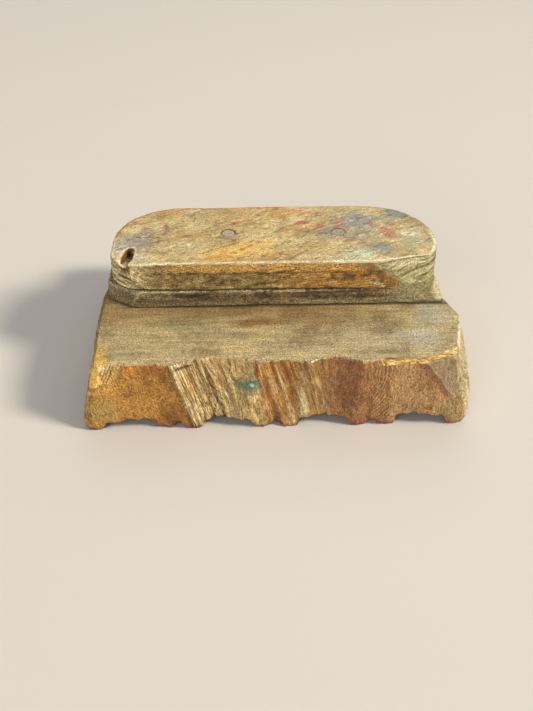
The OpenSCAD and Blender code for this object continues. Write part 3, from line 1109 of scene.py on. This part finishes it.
@dataclass
class HandleRiser(WoodPiece):
    """The lower board of the handle, grey with age.

    The fields are how far each mark stands out or goes in, in millimetres.
    """

    grain: float = 0.2
    lumps: float = 0.2
    pits: float = 0.14
    foot_flare: float = 1.0

    def worn_shape(self) -> Array:
        """Make the board's edges uneven, and flare its right foot.

        Returns:
            The move of each point in millimetres.
        """
        skin = self.skin
        across, _, height = skin.places.T
        grain = skin.noise.ridges(skin.places, (30, 4, 1.4), 2)
        lumps = skin.lumps((14, 14, 6))
        pits = skin.lumps((1.8, 1.8, 1.2), 31)
        push = skin.upright() * (self.grain * (grain - 0.5) + self.lumps * lumps + self.pits * pits)
        offsets = skin.normals * push[:, None]
        offsets[:, 1] += END_CHOP.depth(skin.places)
        offsets[:, 0] += self.foot_flare * rise(65.5, 68.5, across) * rise(34.5, 33, height)
        return offsets

    def paint(self) -> None:
        """Paint the board, with painted highlights on its edges and lips, and dirt with painted shade
        along its foot and in its hollows.
        """
        skin = self.skin
        across, depth, height = skin.places.T
        out, forth, up = skin.normals.T
        grain = skin.lumps((24, 5, 1.3), layers=3)
        cloud = skin.lumps((12, 10, 4), 9)
        fleck = skin.lumps((1.6, 1.6, 1.1), 77)
        streak = 0.9 * grain + 0.4 * fleck
        fore = rise(-12, -14, depth)
        coat = Coat(skin, "#826C44", cloud, fleck)
        coat.lay("#AA9468", rise(0, 0.6, streak))
        coat.lay("#503E24", rise(0, -0.6, streak))
        coat.lay("#80683C", rise(0.1, 0.6, cloud) * 0.6)
        coat.lay("#453A22", fore * between(-62, -54, -34, -14, across) * (0.4 - 0.2 * fleck))
        coat.lay("#9C8C60", rise(34.2, 31.8, height) * 0.55)
        facet = rise(0.25, 0.45, -out) * rise(0.2, 0.5, -forth)
        coat.lay("#8C8058", facet * 0.75)
        # A pale line where the facet meets the front: a worn edge and a painted highlight.
        coat.lay("#C4B68E", 4 * facet * (1 - facet) * 0.6)
        coat.blot(RISER_STAINS, (across, height), 0.6 * fleck, fore)
        # Pale lips along the top edges: worn edges and a painted highlight.
        lip = rise(0.25, 0.5, up) * rise(36.9, 37.6, height) * rise(40, 15, across)
        coat.lay("#C8B688", lip * (0.4 + 0.7 * fleck))
        left_lip = rise(0.25, 0.45, -out) * rise(36.3, 37.3, height) * rise(20, 0, depth)
        coat.lay("#C4B284", left_lip * 0.85)
        right = rise(44, 56, across + 4 * cloud) * rise(28, 20, depth)
        coat.lay("#948A60", right * 0.9)
        coat.lay("#6C6440", right * rise(0.1, 0.7, grain + fleck) * 0.6)
        # A painted highlight on the upward face of the right foot's flare.
        foot_rim = rise(66, 68, across) * rise(0.3, 0.6, up) * rise(34.5, 33, height)
        coat.lay("#E0D4AC", foot_rim * 0.7)
        # Dark paint along the foot, where the board meets the ledge, and in its hollows: dirt and painted
        # shade.
        grime_and_shade = rise(31.8, 31.2, height) * 0.75 + rise(-0.05, -0.25, skin.bulge(4)) * 0.5
        coat.lay(GRIME_AND_SHADE_HEX, np.clip(grime_and_shade, 0, 0.9))
        skin.keep(tint=coat.colours, grain=skin.places, rough=1 - 0.55 * right)


@dataclass
class HandleGrip(WoodPiece):
    """The upper board of the handle, rounded and stained where hands held it.

    How far marks stand out or go in is in millimetres, on the top and on the sides.
    """

    rub_turn: float = math.radians(33.0)
    rim_height: float = 2.4
    rim_rounds: int = 12
    peg_room: float = 4.2
    grain: Pair = (0.08, 0.16)
    lumps: Pair = (0.14, 0.2)
    pits: Pair = (0.06, 0.12)
    top_wear: float = 0.18
    dents: float = 0.25
    chip_depth: float = 0.7
    crack_depth: float = 0.5
    bevel: float = 0.9
    gap: Pair = (0.15, 0.65)
    streak: Array = field(init=False, repr=False)
    crack: Array = field(init=False, repr=False)
    joint: Array = field(init=False, repr=False)
    left: Array = field(init=False, repr=False)
    right: Array = field(init=False, repr=False)

    def refine(self, shape: bmesh.types.BMesh) -> None:
        """Round the rim of the top, where palms have worn it.

        Args:
            shape: The board's mesh, which is changed.
        """
        rim = [point for point in shape.verts if point.co.z > (GRIP_TOP - self.rim_height) * MM
               and min(math.dist(point.co.xy / MM, peg) for peg in PEG_MIDDLES) > self.peg_room]
        soften(shape, rim, self.rim_rounds)

    def chipped(self) -> Array:
        """Tell how far each point lies in the long chip near the right end of the front.

        Returns:
            A weight from 0 to 1 for each point.
        """
        across, depth, height = self.skin.places.T
        off_line = np.abs(CHIP_LINE.past(across, height))
        near = rise(3.6, 2.6, np.abs(across - CHIP_LINE.across))
        return rise(0.9, 0.3, off_line) * near * rise(-10, -13, depth)

    def worn_shape(self) -> Array:
        """Dent the top, cut facets in the sides and open the joint under the left end.

        Returns:
            The move of each point in millimetres.
        """
        skin = self.skin
        across, depth, height = skin.places.T
        upper = rise(0.6, 0.9, skin.normals[:, 2])
        grain = skin.noise.ridges(skin.places, (30, 2, 1.5), 2)
        lumps = skin.lumps((15, 12, 8))
        dents = skin.lumps((3.2, 2.4, 2.4), 70)
        pits = skin.lumps((1.4, 1.1, 1.1), 12)
        off_crack = np.abs(CRACK_LINE.past(across, depth) + 0.5 * dents)
        self.crack = upper * rise(0.6, 0.15, off_crack) * between(-58, -55, -47, -44, across)
        self.joint = rise(39.9, 38.9, height) * rise(-52, -62, across) + rise(39.3, 38.6, height)
        push = upper * (self.grain[0] * (grain - 0.8) + self.lumps[0] * lumps + self.pits[0] * pits
                        - self.top_wear - self.dents * rise(0.35, 0.8, dents))
        push += skin.upright() * (self.grain[1] * (grain - 0.5) + self.lumps[1] * lumps
                                  + self.pits[1] * pits)
        push -= self.chip_depth * self.chipped() + self.crack_depth * self.crack
        offsets = skin.normals * push[:, None]
        outer = np.maximum(rise(-4, -12, depth), rise(-56, -63, across) * rise(14, 0, depth))
        opening = outer * (self.gap[0] + self.gap[1] * rise(-20, -55, across)) * rise(48, 30, across)
        offsets[:, 2] += rise(40.4, 38.4, height) * opening
        offsets[:, 1] += END_CHOP.depth(skin.places)
        shoulder = rise(46.4, 50.2, height) * rise(-8, -13, depth)
        offsets[:, 1] += self.bevel * shoulder * rise(-56, -40, across)
        return offsets

    def paint(self) -> None:
        """Paint the board face by face, then its worn rim with a painted highlight, and dirt with painted
        shade in its hollows and along its joint.
        """
        skin = self.skin
        across, depth, height = skin.places.T
        slope = skin.normals[:, 2]
        upper = rise(0.45, 0.7, slope)
        swept = skin.places - np.outer(0.18 * across, (0, 1, 0))
        self.streak = skin.noise(swept, (16, 2.2, 1.6), 3)
        fleck = skin.lumps((1.7, 1.3, 1.3), 44)
        self.coat = coat = Coat(skin, "#9E844A", skin.lumps((10, 7, 8), 17, 3), fleck)
        self.share_ends()
        self.paint_sides()
        coat.cover(self.painted_top(), upper)
        evened = skin.spread(slope, 14)
        # The rim of the top is pale from wear and a painted highlight, brighter to the right; at the back
        # left it gets an orange painted highlight.
        rim = between(0.45, 0.65, 0.93, 0.985, evened) * rise(48.4, 49.2, height) * skin.off_pegs(4.5, 6)
        fore = rise(14, 0, depth)
        coat.lay("#F4E9C6", rim * fore * (0.6 + 0.4 * rise(15, 50, across) + 0.3 * fleck))
        coat.lay("#CE8838", rim * (1 - fore) * 0.8 * rise(30, 0, across))
        off_notch = np.hypot(across + 58.2, (depth + 8) * 0.35)
        coat.lay("#94692F", rise(3.4, 2.2, off_notch) * rise(0.9, 0.6, slope) * rise(46, 47.5, height))
        # Dark paint in hollows, in the chip's pit and in the joint under the board: dirt and painted
        # shade.
        hollow_dirt_and_shade = rise(-0.06, -0.3, skin.bulge(5)) * (1 - self.chipped()) * skin.off_pegs(3, 4.5)
        off_pit = np.hypot(across - CHIP_LINE.across + 1.6, height - CHIP_LINE.up - 0.9)
        hollow_dirt_and_shade = np.maximum(hollow_dirt_and_shade, rise(1.1, 0.5, off_pit) * rise(-10, -13, depth))
        joint = self.joint * (0.8 + 0.2 * self.left) * rise(46, 30, across)
        coat.lay(GRIME_AND_SHADE_HEX, np.clip(joint + hollow_dirt_and_shade * 0.7 * (1 - 0.8 * self.right), 0, 0.95))
        skin.keep(tint=coat.colours, grain=self.lay_grain(), fibre=0.6 * (1 - upper),
                  rough=1 - 0.45 * np.maximum(upper, self.right))

    def share_ends(self) -> None:
        """Tell how far each point of the sides belongs to the left end and to the right end."""
        across, depth, height = self.skin.places.T
        wander = 1.6 * self.skin.lumps((5, 5, 2.6), 5, 3)
        self.left = rise(-44, -58, across)
        self.right = rise(-2.6, 3.2, RIGHT_END_EDGE.past(across, height) + wander) * rise(26, 18, depth)

    def lay_grain(self) -> Array:
        """Lay the grain along the board, slanting down at the left end and round at the right end.

        Returns:
            The place of each point in the wood.
        """
        across, depth, height = self.skin.places.T
        wall = rise(0.7, 0.4, self.skin.normals[:, 2])
        on_ends = wall * np.maximum(self.left, self.right)
        bend = 3.5 * rise(12, -4, RIGHT_GRAIN_BEND.past(across, height))
        grain = self.skin.places.copy()
        grain[:, 1] -= (1 - wall) * 0.22 * across + 0.85 * on_ends * (depth - HANDLE_FRONT)
        grain[:, 2] += wall * (self.left * 0.16 * (across + 44) + self.right * (bend + 0.05 * across)
                               - (1 - self.left) * 0.10 * across)
        return grain

    def painted_top(self) -> Coat:
        """Paint the top: rubbed by hands in slanting strokes, with old dye on it.

        Returns:
            The top's colours.
        """
        streak, coat = self.streak, Coat(self.skin, "#C4AC74", self.coat.cloud, self.coat.fleck)
        across, depth, height = self.skin.places.T
        cos, sin = math.cos(self.rub_turn), math.sin(self.rub_turn)
        turned = np.stack([across * cos + depth * sin, depth * cos - across * sin, height], axis=1)
        rubbed = 0.5 * coat.fleck + 0.75 * self.skin.noise(turned + 66, (4.2, 1, 2), 2)
        coat.lay("#DAC690", rise(0, 0.6, coat.cloud))
        coat.lay("#AC9156", rise(0, -0.6, coat.cloud))
        coat.lay("#CFA24E", rise(0.2, 0.7, streak) * 0.5)
        coat.lay("#9E9478", rise(-0.1, -0.7, streak) * 0.4)
        coat.blot(GRIP_STAINS, (across, depth), 0.5 * rubbed + 0.5 * streak, 0.95 + 0.3 * rubbed)
        coat.lay("#7E5232", self.crack * 0.8)
        coat.lay("#F4E2AA", rise(0.4, 0.8, rubbed) * 0.45)
        coat.lay("#6E5E40", rise(-0.35, -0.75, rubbed) * 0.6)
        return coat

    def paint_sides(self) -> None:
        """Paint the upright sides."""
        skin, coat, streak, fleck = self.skin, self.coat, self.streak, self.coat.fleck
        across, depth, height = skin.places.T
        lines = skin.noise.ridges(self.lay_grain(), (16, 6, 1.4), 2)
        fuzz = skin.lumps((1.1, 8, 1.5), 25)
        mixed = 0.5 * fleck + 0.6 * streak
        edge = height + 0.5 * fleck
        fore = rise(-8, -12, depth)
        coat.lay("#C68E38", rise(-20, 30, across + 10 * streak))
        coat.lay("#D8BA72", rise(0.1, 0.6, mixed) * 0.75)
        coat.lay("#463620", rise(0, -0.6, mixed) * 0.8)
        coat.lay("#4E3718", rise(0.7, 0.2, np.abs(edge - 46.5)) * fore * rise(-40, -25, across) * 0.55)
        coat.lay("#C89A4A", rise(46.5, 47.1, edge) * fore * rise(-48, -34, across + 5 * streak) * 0.85)
        low_front = fore * rise(46.9, 45.9, edge) * between(-48, -38, -4, 24, across)
        coat.lay("#3A2C16", low_front * rise(-0.2, 0.7, fuzz) * 0.42)
        coat.lay("#C6AC68", low_front * rise(-0.1, -0.7, fuzz) * 0.45)
        for share, main_hex, pale_hex, dark_hex in ((self.left, "#E0CA90", "#FAE8B0", "#4A3C24"),
                                                    (self.right, "#B4AB78", "#ECE2B6", "#5C5230")):
            coat.lay(main_hex, share * 0.9)
            coat.lay(pale_hex, share * rise(0.6, 0.95, lines) * 0.55)
            coat.lay(dark_hex, share * rise(0.35, 0, lines) * 0.8)
        wedge = rise(4.5, 1, np.abs(DARK_WEDGE.past(across, height)) + 1.2 * fleck)
        coat.lay("#6A4A22", wedge * rise(-8, -13, depth) * 0.6)
        coat.lay("#F6E8C4", self.chipped() * 0.95)


@dataclass
class Peg(WoodPiece):
    """A round peg whose end shows on top of the handle."""

    middle: Pair = (0.0, 0.0)
    end_hex: str = "#A09474"
    radius: float = 3.0
    ring_pitch: float = 1.1
    roughness: float = 0.12

    def worn_shape(self) -> Array:
        """Roughen the end of the peg, where its fibres were cut across.

        Returns:
            The move of each point in millimetres.
        """
        skin = self.skin
        end = rise(0.6, 0.9, skin.normals[:, 2])
        fibres = skin.lumps((1.2, 1.2, 5)) - 0.6
        return skin.normals * (end * self.roughness * fibres)[:, None]

    def paint(self) -> None:
        """Paint the growth rings of the end and a dark rim: dirt and painted shade in the gap round the
        peg.
        """
        skin = self.skin
        away = np.hypot(skin.places[:, 0] - self.middle[0], skin.places[:, 1] - self.middle[1])
        wander = skin.lumps((2, 2, 9), layers=1)
        rings = np.sin(math.tau * (away + 0.4 * wander) / self.ring_pitch)
        coat = Coat(skin, self.end_hex, wander, wander)
        coat.lay("#857A62", rise(0, 0.9, rings) * 0.6)
        # The dark rim is dirt and painted shade where the peg meets its hole.
        coat.lay(GRIME_AND_SHADE_HEX, 0.3 * rise(self.radius - 0.5, self.radius - 0.1, away))
        skin.keep(tint=coat.colours, grain=skin.places)


# Split and chopped hardwood: the fibres stand upright in the block, so its sides show long streaks
# and its ledge and underside show the cut ends of the pores.
BLOCK_WOOD = WoodFinish("chopped_hardwood", (0.85, 0.85, 22.0), (0.5, 0.5, 2.6), (0.5, 0.5, 0.8),
                        streak=0.18, split=0.40, speck=0.26, grit=0.40, pore=0.5, bump_mm=0.45,
                        roughness=(0.62, 0.82), crease=0.8, pore_hex="#4A3216")
# A sawn board gone grey: the fibres lie along the handle, dry and dull.
RISER_WOOD = WoodFinish("greyed_board", (10.0, 2.0, 1.0), (4.0, 0.5, 0.4), (0.65, 0.5, 0.45),
                        streak=0.24, split=0, speck=0.40, grit=0.56, pore=0.6, bump_mm=0.5,
                        roughness=(0.66, 0.84))
# A board polished by hands: the same lie of fibres, smoother and a little shiny on top.
GRIP_WOOD = WoodFinish("handled_board", (6.0, 1.3, 0.9), (2.4, 0.5, 0.5), (0.65, 0.5, 0.45),
                       streak=0.16, split=0.22, speck=0.14, grit=0.74, pore=0.5, bump_mm=0.45,
                       roughness=(0.50, 0.70), crease=0.7, pore_hex="#3E2C16")
# Peg wood cut across: only pore ends show.
PEG_WOOD = WoodFinish("peg_end_grain", (0.7, 0.7, 12.0), (0.35, 0.35, 3.0), (0.6, 0.6, 2.0),
                      streak=0.18, split=0, speck=0.2, grit=0.2, pore=0.4, bump_mm=0.15,
                      roughness=(0.60, 0.78))


class LampKind(Enum):
    """Lamps of the studio: place and size in metres, power in watts, spread in degrees and colour."""

    KEY = ((3.36, -1.02, 2.66), 0.96, 15.9, 50.0, "#FFF4E4")
    FILL = ((-1.28, -2.56, 1.28), 1.92, 34.8, 180.0, "#F6F5FF")
    BACK = ((0.32, 2.24, 2.24), 2.24, 22.4, 180.0, "#FFFFFF")


@dataclass
class Studio:
    """A pale floor, three soft lamps and the camera at the photograph's angle, in metres."""

    floor_half: float = 6.0
    floor_hex: str = "#D4D0C8"
    floor_roughness: float = 0.9
    sky_hex: str = "#F4F2EE"
    sky_strength: float = 0.32
    lamp_aim: Triple = (0.0, 0.0, 0.025)
    camera_place: Triple = (-0.0109, -0.3181, 0.2415)
    camera_turn: Triple = (math.radians(52.0), 0.0, math.radians(-1.6))
    sensor: float = 36.0
    focus_by_height: float = 900.0 / 711.0
    nearest: float = 0.01

    def build(self) -> None:
        """Set up the floor, the light and the camera."""
        self.lay_floor()
        for lamp in LampKind:
            self.hang_lamp(lamp)
        self.light_sky()
        self.place_camera()
        bpy.context.scene.view_settings.view_transform = "Standard"

    def lay_floor(self) -> None:
        """Lay a wide pale floor under the object."""
        shape = bmesh.new()
        bmesh.ops.create_grid(shape, x_segments=1, y_segments=1, size=self.floor_half)
        mesh = bpy.data.meshes.new("floor")
        shape.to_mesh(mesh)
        shape.free()
        floor = add_object("floor", mesh)
        material = bpy.data.materials.new("pale_floor")
        material.use_nodes = True
        shader = material.node_tree.nodes["Principled BSDF"]
        shader.inputs["Base Color"].default_value = (*linear(self.floor_hex), 1)
        shader.inputs["Roughness"].default_value = self.floor_roughness
        mesh.materials.append(material)

    def hang_lamp(self, lamp: LampKind) -> None:
        """Hang one square lamp that faces the object.

        Args:
            lamp: Which lamp it is.
        """
        place, size, power, spread, hex_colour = lamp.value
        light = bpy.data.lights.new(lamp.name.lower(), "AREA")
        light.size = size
        light.energy = power
        light.spread = math.radians(spread)
        light.color = linear(hex_colour)
        holder = add_object(lamp.name.lower(), light)
        holder.location = place
        along, back, up = np.array(self.lamp_aim) - place
        tilt = math.atan2(math.hypot(along, back), -up)
        holder.rotation_euler = (tilt, 0, math.atan2(back, along) - math.pi / 2)

    def light_sky(self) -> None:
        """Give an even pale sky."""
        world = bpy.data.worlds.new("studio_sky")
        world.use_nodes = True
        sky = world.node_tree.nodes["Background"]
        sky.inputs["Color"].default_value = (*linear(self.sky_hex), 1)
        sky.inputs["Strength"].default_value = self.sky_strength
        bpy.context.scene.world = world

    def place_camera(self) -> None:
        """Set the camera where the photograph was taken from."""
        lens = bpy.data.cameras.new("photo_camera")
        lens.sensor_fit = "VERTICAL"
        lens.sensor_height = self.sensor
        lens.lens = self.focus_by_height * self.sensor
        lens.clip_start = self.nearest
        camera = add_object("photo_camera", lens)
        camera.location = self.camera_place
        camera.rotation_euler = self.camera_turn
        bpy.context.scene.camera = camera


def main() -> None:
    """Load the frame, dress each piece and set up the studio."""
    logging.basicConfig(level=logging.INFO, format="%(message)s")
    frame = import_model()
    pieces = (
        PrintingBlock("printing_block", "block_wood", BLOCK_WOOD, 0.95, 11, 2),
        HandleRiser("handle_riser", "riser_wood", RISER_WOOD, 0.6, 23, 1),
        HandleGrip("handle_grip", "grip_wood", GRIP_WOOD, 0.5, 37, 1),
        Peg("peg_left", "peg_wood", PEG_WOOD, 0.35, 41, 1, middle=PEG_MIDDLES[0], end_hex="#B8AC90"),
        Peg("peg_right", "peg_wood", PEG_WOOD, 0.35, 43, 1, middle=PEG_MIDDLES[1], end_hex="#A6A08C"),
    )
    for piece in pieces:
        piece.build(frame)
    Studio().build()


if __name__ == "__main__":
    main()
